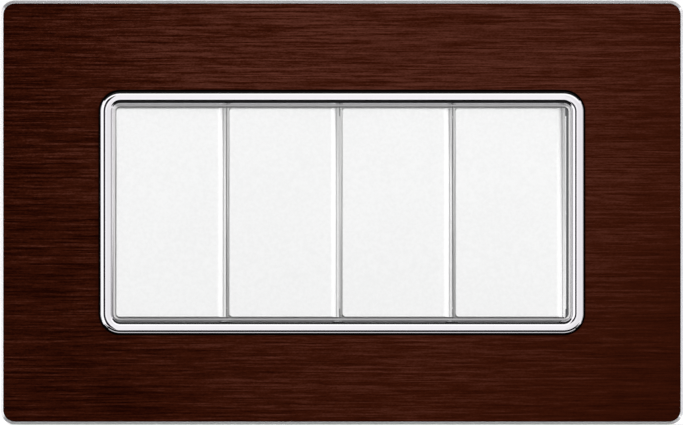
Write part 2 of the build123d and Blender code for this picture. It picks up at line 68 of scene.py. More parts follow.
class Socket:
    """A node's output that takes part in Python expressions, each of which adds a Math node."""

    def __init__(self, graph: "Graph", output: bpy.types.NodeSocket) -> None:
        """Keep the graph that the output belongs to."""
        self.graph = graph
        self.output = output

    def _math(self, operation: str, first: "Term", second: "Term" = 0.0) -> "Socket":
        """Add one Math node.

        Args:
            operation: The Math node's operation.
            first: Its first value.
            second: Its second value.

        Returns:
            The node's value.
        """
        return self.graph.node("ShaderNodeMath", {"operation": operation}, {0: first, 1: second})

    def __add__(self, other: "Term") -> "Socket":
        """Sum."""
        return self._math("ADD", self, other)

    __radd__ = __add__

    def __sub__(self, other: "Term") -> "Socket":
        """Difference."""
        return self._math("SUBTRACT", self, other)

    def __rsub__(self, other: "Term") -> "Socket":
        """Difference from a number."""
        return self._math("SUBTRACT", other, self)

    def __mul__(self, other: "Term") -> "Socket":
        """Product."""
        return self._math("MULTIPLY", self, other)

    __rmul__ = __mul__

    def __truediv__(self, other: "Term") -> "Socket":
        """Quotient."""
        return self._math("DIVIDE", self, other)

    def __rtruediv__(self, other: "Term") -> "Socket":
        """Quotient of a number by the value."""
        return self._math("DIVIDE", other, self)

    def __pow__(self, other: "Term") -> "Socket":
        """Power."""
        return self._math("POWER", self, other)

    def __rpow__(self, other: "Term") -> "Socket":
        """Power of a number."""
        return self._math("POWER", other, self)

    def __lt__(self, other: "Term") -> "Socket":
        """One where the value is below the other, else zero."""
        return self._math("LESS_THAN", self, other)

    def __gt__(self, other: "Term") -> "Socket":
        """One where the value is above the other, else zero."""
        return self._math("GREATER_THAN", self, other)

    def size(self) -> "Socket":
        """The value without its sign."""
        return self._math("ABSOLUTE", self)

    def over(self, limit: "Term") -> "Socket":
        """The part of the value above a limit."""
        return self._math("MAXIMUM", self - limit, 0.0)

    def either(self, other: "Socket") -> "Socket":
        """The larger of two masks."""
        return self._math("MAXIMUM", self, other)

    def ramp(self, low: float, high: float, start: float = 0.0, end: float = 1.0) -> "Socket":
        """Carry the range low to high smoothly to start to end.

        Args:
            low: Value that gives start.
            high: Value that gives end.
            start: Result at low and below.
            end: Result at high and above.

        Returns:
            The carried value.
        """
        return self.graph.node(
            "ShaderNodeMapRange",
            {"interpolation_type": "SMOOTHSTEP"},
            {"Value": self, "From Min": low, "From Max": high, "To Min": start, "To Max": end},
        )


Term = Union[Socket, float]


class Graph:
    """The nodes of one material or of the world."""

    MIX_FIRST: ClassVar[int] = 6
    MIX_SECOND: ClassVar[int] = 7
    MIX_RESULT: ClassVar[int] = 2

    def __init__(self, tree: bpy.types.NodeTree) -> None:
        """Start from an empty tree."""
        tree.nodes.clear()
        self.tree = tree

    def node(
        self,
        kind: str,
        settings: dict[str, Any] | None = None,
        sockets: dict[int | str, Any] | None = None,
        output: int | str = 0,
    ) -> Socket:
        """Add a node.

        Args:
            kind: The node's type.
            settings: Its own properties, set before its sockets. "stops" fills a colour ramp.
            sockets: Values or links of its inputs, by name or number.
            output: The output that is wanted.

        Returns:
            The wanted output.
        """
        made = self.tree.nodes.new(kind)
        for name, value in (settings or {}).items():
            if name == "stops":
                self._fill(made.color_ramp, value)
            else:
                setattr(made, name, value)
        for key, value in (sockets or {}).items():
            if isinstance(value, Socket):
                self.tree.links.new(value.output, made.inputs[key])
            else:
                made.inputs[key].default_value = value
        return Socket(self, made.outputs[output] if len(made.outputs) else made.inputs[0])

    @staticmethod
    def _fill(band: bpy.types.ColorRamp, stops: Iterable[tuple[float, Colour]]) -> None:
        """Give a colour ramp its stops.

        Args:
            band: The ramp.
            stops: Place and colour of each stop.
        """
        wanted = list(stops)
        while len(band.elements) < len(wanted):
            band.elements.new(1.0)
        for element, (place, colour) in zip(band.elements, wanted):
            element.position = place
            element.color = (*colour, 1.0)

    def place(self) -> Socket:
        """Place on the object, in metres in the part's own frame."""
        return self.node("ShaderNodeTexCoord", output="Object")

    def axes(self) -> tuple[Socket, Socket, Socket]:
        """The three coordinates of the place on the object.

        Returns:
            X, Y and Z, in metres.
        """
        split = self.node("ShaderNodeSeparateXYZ", sockets={0: self.place()})
        outputs = split.output.node.outputs
        return tuple(Socket(self, outputs[i]) for i in range(3))

    def mark(self, name: str) -> Socket:
        """A number that the piece's own mesh carries.

        Args:
            name: The attribute's name.

        Returns:
            The number.
        """
        return self.node("ShaderNodeAttribute", {"attribute_name": name}, output="Fac")

    def seen(self) -> Socket:
        """Tell the rays that see the background.

        Returns:
            One for a ray from the camera, a mirror or glass, else zero.
        """
        camera = self.node("ShaderNodeLightPath", output="Is Camera Ray")
        paths = camera.output.node.outputs
        mirror, glass = (Socket(self, paths[name]) for name in ("Is Glossy Ray", "Is Transmission Ray"))
        return camera.either(mirror).either(glass)

    def stretched(self, scale: Vector) -> Socket:
        """Place on the object with each axis multiplied.

        Args:
            scale: Cycles in a metre along X, Y and Z.

        Returns:
            The stretched place.
        """
        sockets = {"Vector": self.place(), "Scale": scale}
        return self.node("ShaderNodeMapping", {"vector_type": "POINT"}, sockets)

    def noise(self, scale: Vector, detail: float = 2.0, roughness: float = 0.5) -> Socket:
        """Noise on the object.

        Args:
            scale: Cycles in a metre along X, Y and Z.
            detail: Octaves.
            roughness: Share of each finer octave.

        Returns:
            A value about one half.
        """
        return self.node(
            "ShaderNodeTexNoise",
            {"noise_dimensions": "3D"},
            {"Vector": self.stretched(scale), "Scale": 1.0, "Detail": detail, "Roughness": roughness},
        )

    def tint(self, factor: Socket, first: Any, second: Any) -> Socket:
        """Blend two colours.

        Args:
            factor: Share of the second.
            first: A colour or a link.
            second: A colour or a link.

        Returns:
            The blended colour.
        """
        sockets = {"Factor": factor, self.MIX_FIRST: self._rgba(first), self.MIX_SECOND: self._rgba(second)}
        return self.node("ShaderNodeMix", {"data_type": "RGBA"}, sockets, output=self.MIX_RESULT)

    @staticmethod
    def _rgba(colour: Any) -> Any:
        """A colour with its alpha, or the link itself."""
        return colour if isinstance(colour, Socket) else (*colour, 1.0)

    def bump(self, height: Socket, depth: float, strength: float = 1.0) -> Socket:
        """A normal bent by a height.

        Args:
            height: The height, from 0 to 1.
            depth: What 1 stands for, in metres.
            strength: Share of the bend.

        Returns:
            The normal.
        """
        sockets = {"Height": height, "Distance": depth, "Strength": strength}
        return self.node("ShaderNodeBump", sockets=sockets)

    def surface(self, sockets: dict[int | str, Any]) -> None:
        """End the tree in a Principled shader.

        Args:
            sockets: Its values and links.
        """
        shader = self.node("ShaderNodeBsdfPrincipled", sockets=sockets)
        self.node("ShaderNodeOutputMaterial", sockets={"Surface": shader})


class Finish:
    """A finish that makes its own material once."""

    name: str

    def paint(self, graph: Graph) -> None:
        """Fill the material's nodes."""
        raise NotImplementedError

    def material(self) -> bpy.types.Material:
        """Make the finish's material at its first use.

        Returns:
            The material.
        """
        title = f"{self.name} finish"
        found = bpy.data.materials.get(title)
        if found is None:
            found = bpy.data.materials.new(title)
            found.use_nodes = True
            self.paint(Graph(found.node_tree))
        return found


@dataclass(frozen=True)
class BrushedBrown(Finish):
    """Brown anodised sheet, brushed sideways, with a polished bevel round its front edge."""

    name: str = "brushed_brown"
    front: float = -SHEET_FRONT
    front_slack: float = 0.02 * MM
    dark: Colour = (0.0120, 0.0018, 0.0006)
    middle: Colour = (0.041, 0.0071, 0.0027)
    light: Colour = (0.105, 0.030, 0.019)
    bare: Colour = (0.95, 0.935, 0.955)
    tone_stops: tuple[float, float, float] = (0.30, 0.50, 0.72)
    long_lines: Vector = (50.0, 50.0, 3100.0)
    short_lines: Vector = (190.0, 190.0, 4100.0)
    speckle: Vector = (2300.0, 2300.0, 5200.0)
    long_share: float = 0.36
    short_share: float = 0.42
    speckle_share: float = 0.20
    share_middle: float = 0.49
    size: tuple[float, float] = (145.0 * MM, 90.0 * MM)
    corner: float = 3.1 * MM
    bevel: float = 0.65 * MM
    rim_line: float = 0.17 * MM
    rim_shade: float = 0.75
    grazing: Colour = (0.10, 0.06, 0.05)
    # Painted sheen: the tone is lighter round this middle and darker away from it, as where light falls on
    # the sheet.
    painted_sheen_middle: tuple[float, float] = (12.0 * MM, 29.0 * MM)
    painted_sheen_reach: tuple[float, float] = (56.0 * MM, 66.0 * MM)
    painted_sheen_end: float = 2.5
    painted_sheen_lift: float = 0.08
    mean_tone: float = 0.492
    fade_x: float = -0.34 / (72.5 * MM)
    fade_z: float = 0.14 / (45.0 * MM)
    metallic: float = 0.55
    roughness: float = 0.42
    line_gloss: float = 0.16
    bare_roughness: float = 0.16
    line_depth: float = 0.012 * MM
    line_strength: float = 0.35

    def edge_distance(self, x: Socket, z: Socket) -> Socket:
        """Distance in from the plate's rounded outline.

        Args:
            x: Place across.
            z: Place up.

        Returns:
            The distance, in metres.
        """
        across = x.size().over(self.size[0] / 2 - self.corner)
        up = z.size().over(self.size[1] / 2 - self.corner)
        return self.corner - (across * across + up * up) ** 0.5

    def paint(self, graph: Graph) -> None:
        """Hairlines of two lengths and a fine speckle over a broad tone with a painted sheen, and bare metal
        off the front.

        Args:
            graph: The material's nodes.
        """
        x, y, z = graph.axes()
        long_lines = graph.noise(self.long_lines, detail=1.0)
        short_lines = graph.noise(self.short_lines, roughness=0.6)
        speckle = graph.noise(self.speckle, detail=1.0)
        # Painted sheen: the hairlines show more contrast towards the top and the left.
        contrast = x * self.fade_x + z * self.fade_z + 1.0
        across = (x - self.painted_sheen_middle[0]) / self.painted_sheen_reach[0]
        up = (z - self.painted_sheen_middle[1]) / self.painted_sheen_reach[1]
        # Painted sheen: lighter round a middle above and a little right of the plate's centre.
        broad = (across * across + up * up).ramp(0.0, self.painted_sheen_end, self.painted_sheen_lift, -self.painted_sheen_lift)
        lines = long_lines * self.long_share + short_lines * self.short_share + speckle * self.speckle_share
        tone = (lines - self.share_middle) * contrast + broad + self.mean_tone
        stops = zip(self.tone_stops, (self.dark, self.middle, self.light))
        brown = graph.node("ShaderNodeValToRGB", {"stops": stops}, {0: tone})
        bare = y > self.front + self.front_slack
        # Painted shade: a dark line on the front just inside the bevel.
        painted_edge_shade = (self.edge_distance(x, z) < self.bevel + self.rim_line) * self.rim_shade
        brushed = self.roughness - short_lines * self.line_gloss
        height = (long_lines + short_lines) * 0.5
        graph.surface(
            {
                "Base Color": graph.tint(bare, graph.tint(painted_edge_shade, brown, self.dark), self.bare),
                "Metallic": self.metallic,
                "Specular IOR Level": 0.0,
                "Specular Tint": (*self.grazing, 1.0),
                "Roughness": (1.0 - bare) * brushed + bare * self.bare_roughness,
                "Normal": graph.bump(height, self.line_depth, self.line_strength),
            }
        )


@dataclass(frozen=True)
class Chrome(Finish):
    """Bright plating on the bead and a rougher lip, with painted shade on the lip, a painted dark reflection
    on the flank and a painted shadow at the foot.

    The edges of the zones are millimetres out of the opening, as the ring's mark is.
    """

    name: str = "ring_chrome"
    colour: Colour = (0.90, 0.875, 0.915)
    # Painted shade: the lip is darker on the top and bottom bars and lighter on the upright bars.
    painted_lip_shade: Colour = (0.52, 0.51, 0.52)
    upright_lip_painted_light: Colour = (0.88, 0.87, 0.87)
    # Painted dark reflection on the inner flank.
    painted_flank_reflection: Colour = (0.50, 0.49, 0.51)
    # Painted shadow: near black at the foot of the ring.
    painted_foot_shadow: Colour = (0.004, 0.003, 0.003)
    grazing: Colour = (0.5, 0.5, 0.5)
    lip_edge: float = 0.41
    flank_edge: float = 0.9
    foot_edge: float = 3.1
    gloss: tuple[float, float] = (0.03, 0.05)
    lip_roughness: float = 0.3
    foot_roughness: float = 0.5
    peel_scale: float = 700.0
    peel_shade: float = 0.97
    peel_depth: float = 0.002 * MM
    peel_strength: float = 0.3

    def paint(self, graph: Graph) -> None:
        """Mirror metal with its zones set by the distance out of the opening and by the bar.

        Args:
            graph: The material's nodes.
        """
        peel = graph.noise((self.peel_scale,) * 3)
        x, _, z = graph.axes()
        outward = graph.mark(BezelRing.MARK)
        lip = outward < self.lip_edge
        # Painted shadow: the foot, where the ring meets the sheet, is coloured near black.
        foot = outward > self.foot_edge
        # Painted shade: the lips of the top and bottom bars are darker than those of the upright bars.
        upright = (z * z) < (BezelRing.open_height / 2) ** 2
        # Painted reflection: the inner flank is darkened on every bar but the left.
        flank = (outward < self.flank_edge) * (x > -BezelRing.open_width / 2)
        bright = graph.tint(peel, self.colour, tuple(c * self.peel_shade for c in self.colour))
        # The bead's colour with the painted dark reflection on its flank.
        plated = graph.tint(flank, bright, self.painted_flank_reflection)
        painted_lip_shade = graph.tint(upright, self.painted_lip_shade, self.upright_lip_painted_light)
        dulled = lip * self.lip_roughness + foot * self.foot_roughness
        graph.surface(
            {
                "Base Color": graph.tint(foot, graph.tint(lip, plated, painted_lip_shade), self.painted_foot_shadow),
                "Metallic": 1.0,
                "Specular Tint": (*self.grazing, 1.0),
                "Roughness": peel.ramp(*NOISE_SPAN, *self.gloss) + dulled,
                "Normal": graph.bump(peel, self.peel_depth, self.peel_strength),
            }
        )


@dataclass(frozen=True)
class Moulded(Finish):
    """Moulded plastic with a spark-eroded grain."""

    name: str
    colour: Colour
    roughness: float = 0.5
    grain: float = 2600.0
    depth: float = 0.01 * MM
    strength: float = 0.5
    fleck: float = 0.03
    fleck_span: tuple[float, float] = (0.35, 0.65)
    cloud_scale: float = 60.0
    cloud_share: float = 0.2
    gloss_change: float = 0.05

    def paint(self, graph: Graph) -> None:
        """Fine flecks and a shallow grain.

        Args:
            graph: The material's nodes.
        """
        grain = graph.noise((self.grain,) * 3, detail=3.0, roughness=0.65)
        cloud = graph.noise((self.cloud_scale,) * 3)
        mixed = grain * (1 - self.cloud_share) + cloud * self.cloud_share
        fleck = mixed.ramp(*self.fleck_span)
        shaded = tuple(c * (1 - self.fleck) for c in self.colour)
        matt, glossy = self.roughness + self.gloss_change, self.roughness - self.gloss_change
        graph.surface(
            {
                "Base Color": graph.tint(fleck, shaded, self.colour),
                "Roughness": fleck.ramp(0.0, 1.0, matt, glossy),
                "Normal": graph.bump(grain, self.depth, self.strength),
            }
        )


@dataclass(frozen=True)
class Metal(Finish):
    """Bare or plated metal with fine drawing lines along one axis and a slight stain."""

    name: str
    colour: Colour
    stain: Colour
    lines: Vector = (120.0, 2400.0, 2400.0)
    line_depth: float = 0.004 * MM
    line_strength: float = 0.4
    roughness: float = 0.3
    gloss_change: float = 0.08
    blotch_scale: float = 180.0
    blotch_span: tuple[float, float] = (0.35, 0.75)

    def paint(self, graph: Graph) -> None:
        """Drawn lines in the gloss, and a blotchy tone.

        Args:
            graph: The material's nodes.
        """
        drawn = graph.noise(self.lines)
        blotch = graph.noise((self.blotch_scale,) * 3, detail=3.0, roughness=0.6)
        glossy, matt = self.roughness - self.gloss_change, self.roughness + self.gloss_change
        graph.surface(
            {
                "Base Color": graph.tint(blotch.ramp(*self.blotch_span), self.colour, self.stain),
                "Metallic": 1.0,
                "Roughness": drawn.ramp(*NOISE_SPAN, glossy, matt),
                "Normal": graph.bump(drawn, self.line_depth, self.line_strength),
            }
        )


@dataclass(frozen=True)
class PaleFloor(Finish):
    """A pale studio floor that shows near white to the camera and keeps the shadow."""

    name: str = "floor_pale"
    colour: Colour = (0.80, 0.80, 0.80)
    shown: Colour = (0.55, 0.55, 0.55)
    roughness: float = 0.85
    cloud_scale: float = 3.0
    cloud_shade: float = 0.98

    def paint(self, graph: Graph) -> None:
        """A faint cloud in the colour, and a glow that lights nothing else.

        Args:
            graph: The material's nodes.
        """
        cloud = graph.noise((self.cloud_scale,) * 3)
        shaded = tuple(c * self.cloud_shade for c in self.colour)
        graph.surface(
            {
                "Base Color": graph.tint(cloud, self.colour, shaded),
                "Roughness": self.roughness,
                "Emission Color": graph.tint(graph.seen(), BLACK, self.shown),
                "Emission Strength": 1.0,
            }
        )


class Slot(Enum):
    """The record's material slots with the finish that each one gets."""

    BRUSHED_BROWN = BrushedBrown()
    COVER_PLASTIC = Moulded("cover_plastic", (0.030, 0.026, 0.025), roughness=0.5)
    RING_CHROME = Chrome()
    FRAME_PLASTIC = Moulded("frame_plastic", (0.36, 0.37, 0.38), roughness=0.55)
    SCREW_STEEL = Metal("screw_steel", (0.60, 0.59, 0.56), (0.46, 0.45, 0.42))
    KEY_WHITE = Moulded(
        "key_white", (0.88, 0.882, 0.882), roughness=0.42, grain=1300.0, depth=0.006 * MM, fleck=0.045
    )
    HOUSING_WHITE = Moulded("housing_white", (0.80, 0.80, 0.795), roughness=0.48)
    BASE_GREY = Moulded("base_grey", (0.10, 0.10, 0.105), roughness=0.5)
    PLUNGER_NYLON = Moulded("plunger_nylon", (0.62, 0.60, 0.52), roughness=0.45)
    SPRING_STEEL = Metal("spring_steel", (0.55, 0.55, 0.55), (0.45, 0.45, 0.46))
    BLADE_COPPER = Metal("blade_copper", (0.72, 0.35, 0.21), (0.52, 0.24, 0.14))
    TERMINAL_BRASS = Metal("terminal_brass", (0.74, 0.54, 0.22), (0.58, 0.40, 0.15))
    CONTACT_SILVER = Metal("contact_silver", (0.82, 0.82, 0.80), (0.70, 0.69, 0.66), roughness=0.24)

    @property
    def label(self) -> str:
        """The slot's name in the record."""
        return self.value.name

    def dress(self, piece: bpy.types.Object) -> None:
        """Give a piece this slot's material in each of its places.

        Args:
            piece: A CAD node or a piece made here.
        """
        if not piece.data.materials:
            piece.data.materials.append(None)
        for i in range(len(piece.data.materials)):
            piece.data.materials[i] = self.value.material()


def smooth(piece: bpy.types.Object) -> None:
    """Shade a piece smooth between its sharp edges.

    Args:
        piece: The piece, whose own vertices stay as they are.
    """
    piece.data.polygons.foreach_set("use_smooth", np.ones(len(piece.data.polygons), bool))
    weld = piece.modifiers.new("weld", "WELD")
    weld.merge_threshold = WELD_DISTANCE
    split = piece.modifiers.new("sharp edges", "EDGE_SPLIT")
    split.split_angle = math.radians(SHARP_DEG)
    split.use_edge_sharp = False
    flat = piece.modifiers.new("flat faces", "WEIGHTED_NORMAL")
    flat.mode = "FACE_AREA"
    flat.weight = FLAT_WEIGHT


def linked(name: str, data: bpy.types.ID) -> bpy.types.Object:
    """Make an object and link it to the scene.

    Args:
        name: Its name.
        data: Its mesh, lamp or camera.

    Returns:
        The object, at the origin.
    """
    made = bpy.data.objects.new(name, data)
    bpy.context.scene.collection.objects.link(made)
    return made


def grid_faces(rows: int, columns: int, wrap_rows: bool) -> np.ndarray:
    """Faces of a grid whose columns run round.

    Args:
        rows: Count of rows.
        columns: Count of points in a row.
        wrap_rows: Whether the last row joins the first.

    Returns:
        Four point numbers for each face.
    """
    number = np.arange(rows * columns).reshape(rows, columns)
    below = np.roll(number, -1, 0)
    quads = np.stack([number, below, np.roll(below, -1, 1), np.roll(number, -1, 1)], -1)
    return quads[: rows if wrap_rows else rows - 1].reshape(-1, 4)


def shell_mesh(name: str, grids: list[np.ndarray], wrap_rows: bool = False) -> bpy.types.Object:
    """Make an object from grids of points whose columns run round.

    Args:
        name: The piece's name.
        grids: Rows by columns by three coordinates each, in metres.
        wrap_rows: Whether the first grid's last row joins its first.

    Returns:
        The piece, linked to the scene.
    """
    starts = np.cumsum([0] + [grid.shape[0] * grid.shape[1] for grid in grids])
    wraps = [wrap_rows] + [False] * (len(grids) - 1)
    faces = [grid_faces(*grid.shape[:2], wrap) + first for grid, wrap, first in zip(grids, wraps, starts)]
    mesh = bpy.data.meshes.new(name)
    mesh.from_pydata(np.concatenate([grid.reshape(-1, 3) for grid in grids]), [], np.concatenate(faces))
    mesh.validate()
    return linked(name, mesh)


@dataclass
class BezelRing:
    """The chrome ring: a convex bead with a lip, on a barbed skirt that goes through the plate's window."""

    MARK: ClassVar[str] = "outward"

    open_width: float = 96.2 * MM
    open_height: float = 45.0 * MM
    corner: float = 1.1 * MM
    band: float = 3.55 * MM
    bead_rise: float = 1.215 * MM
    bead_foot: float = 0.25 * MM
    lip_width: float = 0.4 * MM
    lip_drop: float = 0.2 * MM
    lip_thickness: float = 0.4 * MM
    skirt_inside: float = 0.45 * MM
    skirt_wall: float = 1.3 * MM
    skirt_depth: float = 4.3 * MM
    skirt_corner: float = 0.05 * MM
    barb_width: float = 9.0 * MM
    barb_spread: float = 56.0 * MM
    barb_length: float = 0.9 * MM
    barb_reach: float = 0.7 * MM
    bead_steps: int = 56
    corner_steps: int = 24

    def section(self) -> np.ndarray:
        """Points round the section.

        The bead is a circular arc from the lip's wall to the foot, and the rest are straight edges.

        Returns:
            Offset out of the opening, height over the sheet and corner radius of each point.
        """
        chord = (self.band - self.lip_width) / 2
        sagitta = self.bead_rise - self.bead_foot
        radius = (chord**2 + sagitta**2) / (2 * sagitta)
        reach = math.asin(chord / radius)
        angle = np.linspace(-reach, reach, self.bead_steps)
        bead = np.stack(
            [
                (self.lip_width + self.band) / 2 + radius * np.sin(angle),
                self.bead_rise - radius * (1 - np.cos(angle)),
                np.zeros(self.bead_steps),
            ],
            -1,
        )
        bead[:, 2] = self.corner + bead[:, 0]
        outside = self.skirt_inside + self.skirt_wall
        under = -self.lip_drop - self.lip_thickness
        around = np.array(
            [
                (self.band, 0.0, self.corner + self.band),
                (outside, 0.0, self.corner + outside),
                (outside, under, self.corner + outside),
                (outside, under, self.skirt_corner),
                (outside, -self.skirt_depth, self.skirt_corner),
                (self.skirt_inside, -self.skirt_depth, self.skirt_corner),
                (self.skirt_inside, under, self.skirt_corner),
                (self.skirt_inside, under, self.corner + self.skirt_inside),
                (0.0, under, self.corner),
                (0.0, -self.lip_drop, self.corner),
                (self.lip_width, -self.lip_drop, self.corner + self.lip_width),
            ]
        )
        return np.concatenate([bead, around])

    def surface(self) -> np.ndarray:
        """Carry the section round the opening.

        Each point of the section runs round its own rounded rectangle: the opening's, moved out by the
        point's offset, with the point's corner radius. The rows run backwards, so that the faces look out.

        Returns:
            The grid of points, in metres.
        """
        offset, height, radius = self.section().T
        quarter = np.linspace(0.0, math.pi / 2, self.corner_steps)
        angle = np.concatenate([quarter + k * math.pi / 2 for k in range(4)])[:, None]
        side_x = np.repeat([1.0, -1.0, -1.0, 1.0], self.corner_steps)[:, None]
        side_z = np.repeat([1.0, 1.0, -1.0, -1.0], self.corner_steps)[:, None]
        x = side_x * (self.open_width / 2 + offset - radius) + radius * np.cos(angle)
        z = side_z * (self.open_height / 2 + offset - radius) + radius * np.sin(angle)
        y = np.broadcast_to(-SHEET_FRONT - height, x.shape)
        return np.stack([x, y, z], -1)[::-1]

    def barb(self, side_x: int, side_z: int) -> np.ndarray:
        """One barb at the skirt's end, which catches behind the carrier.

        Its section is a wedge against the skirt's wall, and both ends close on the wedge's middle.

        Args:
            side_x: 1 for a right one and -1 for a left one.
            side_z: 1 for an upper one and -1 for a lower one.

        Returns:
            The grid of points, in metres.
        """
        wall = self.open_height / 2 + self.skirt_inside + self.skirt_wall
        back = self.skirt_depth - SHEET_FRONT
        catch = back - self.barb_length
        wedge = np.array([(back, wall), (catch, wall), (catch, wall + self.barb_reach)])
        end = np.broadcast_to(wedge.mean(0), wedge.shape)
        rows = np.stack([end, wedge, wedge, end])
        along = np.array([-1.0, -1.0, 1.0, 1.0]) * side_z * self.barb_width / 2
        x = np.broadcast_to((side_x * self.barb_spread / 2 + along)[:, None], rows.shape[:2])
        return np.stack([x, rows[..., 0], side_z * rows[..., 1]], -1)

    def build(self) -> bpy.types.Object:
        """Make the ring in place of its CAD node.

        Returns:
            The ring.
        """
        points = self.surface()
        barbs = [self.barb(side_x, side_z) for side_x in (-1, 1) for side_z in (-1, 1)]
        ring = shell_mesh("bezel_ring_bead", [points, *barbs], wrap_rows=True)
        outward = ring.data.attributes.new(self.MARK, "FLOAT", "POINT")
        round_ring = np.tile(self.section()[:, 0], len(points))
        on_barbs = np.full(len(ring.data.vertices) - len(round_ring), self.skirt_inside + self.skirt_wall)
        outward.data.foreach_set("value", np.concatenate([round_ring, on_barbs]) / MM)
        smooth(ring)
        Slot.RING_CHROME.dress(ring)
        Slot.RING_CHROME.label
        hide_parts("bezel_ring")
        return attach(ring, "plate")


@dataclass
class BoxScrews:
    """The two slotted screws that hold the frame to the wall box, with rolled threads."""

    centres: float = 108.0 * MM
    seat: float = -1.4 * MM
    head_radius: float = 3.3 * MM
    head_height: float = 1.9 * MM
    head_bevel: float = 0.15 * MM
    slot_width: float = 1.0 * MM
    slot_depth: float = 0.95 * MM
    neck_radius: float = 1.4 * MM
    neck_end: float = 0.5 * MM
    crest_radius: float = 1.75 * MM
    root_radius: float = 1.36 * MM
    point_radius: float = 1.1 * MM
    tip: float = 23.6 * MM
    pitch: float = 0.6 * MM
    ridge_lift: float = 1.6
    ridge_slope: float = 3.6
    rows_in_pitch: int = 8
    columns: int = 48

    def shank(self) -> np.ndarray:
        """Rows down the screw from the slot's floor to the tip, and columns round it.

        The thread's radius is the root's plus a ridge, which is a triangle wave of the place along the screw
        less the share of the turn. The ridge grows over the first pitch and fades over the last two.

        Returns:
            The grid of points round the screw's own axis, in metres.
        """
        length = self.tip - self.neck_end
        place = np.linspace(0.0, length, int(length / self.pitch * self.rows_in_pitch))
        angle = np.linspace(0.0, 2 * math.pi, self.columns, endpoint=False)
        phase = (place[:, None] / self.pitch - angle[None] / (2 * math.pi)) % 1.0
        ridge = np.clip(self.ridge_lift - np.abs(phase - 0.5) * self.ridge_slope, 0.0, 1.0)
        fade = np.clip((length - place) / (2 * self.pitch), 0.0, 1.0)
        grown = np.clip(place / self.pitch, 0.0, 1.0) * fade
        core = self.point_radius + (self.root_radius - self.point_radius) * fade
        thread = core[:, None] + (self.crest_radius - self.root_radius) * ridge * grown[:, None]
        floor = self.seat - self.head_height + self.slot_depth
        turned = [(0.0, floor), (self.head_radius, floor), (self.head_radius, self.seat)]
        turned += [(self.neck_radius, self.seat), (self.neck_radius, self.neck_end)]
        upper = np.array(turned)
        radius = np.concatenate([np.tile(upper[:, :1], self.columns), thread, np.zeros((1, self.columns))])
        depth = np.concatenate([upper[:, 1], self.neck_end + place, [self.tip]])
        y = np.broadcast_to(depth[:, None], radius.shape)
        return np.stack([radius * np.cos(angle), y, radius * np.sin(angle)], -1)

    def half_head(self, side: int) -> np.ndarray:
        """One side of the head beside the slot.

        Its outline is the head's circle cut by the slot's wall, carried up to a bevelled top, and both ends
        close on the outline's middle.

        Args:
            side: 1 for the right half and -1 for the left one.

        Returns:
            The grid of points, in metres.
        """
        wall = self.slot_width / 2
        reach = math.acos(wall / self.head_radius)
        angle = np.linspace(-reach, reach, self.columns)
        outline = self.head_radius * np.stack([side * np.cos(angle), side * np.sin(angle)], -1)
        middle = np.array([side * (wall + self.head_radius) / 2, 0.0])
        top = self.seat - self.head_height
        floor = top + self.slot_depth
        shrunk = middle + (outline - middle) * (1 - self.head_bevel / self.head_radius)
        flat = np.broadcast_to(middle, outline.shape)
        rings = np.stack([flat, shrunk, outline, outline, flat])
        heights = np.array([top, top, top + self.head_bevel, floor, floor])
        depth = np.broadcast_to(heights[:, None], rings.shape[:2])
        return np.stack([rings[..., 0], depth, rings[..., 1]], -1)

    def build(self) -> bpy.types.Object:
        """Make both screws in place of their CAD node.

        Returns:
            The screws.
        """
        shells = []
        for side in (-1, 1):
            shift = np.array([side * self.centres / 2, 0.0, 0.0])
            shells += [self.shank() + shift, self.half_head(1) + shift, self.half_head(-1) + shift]
        screws = shell_mesh("box_screw_threads", shells)
        smooth(screws)
        Slot.SCREW_STEEL.dress(screws)
        Slot.SCREW_STEEL.label
        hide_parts("box_screws")
        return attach(screws, "plate")


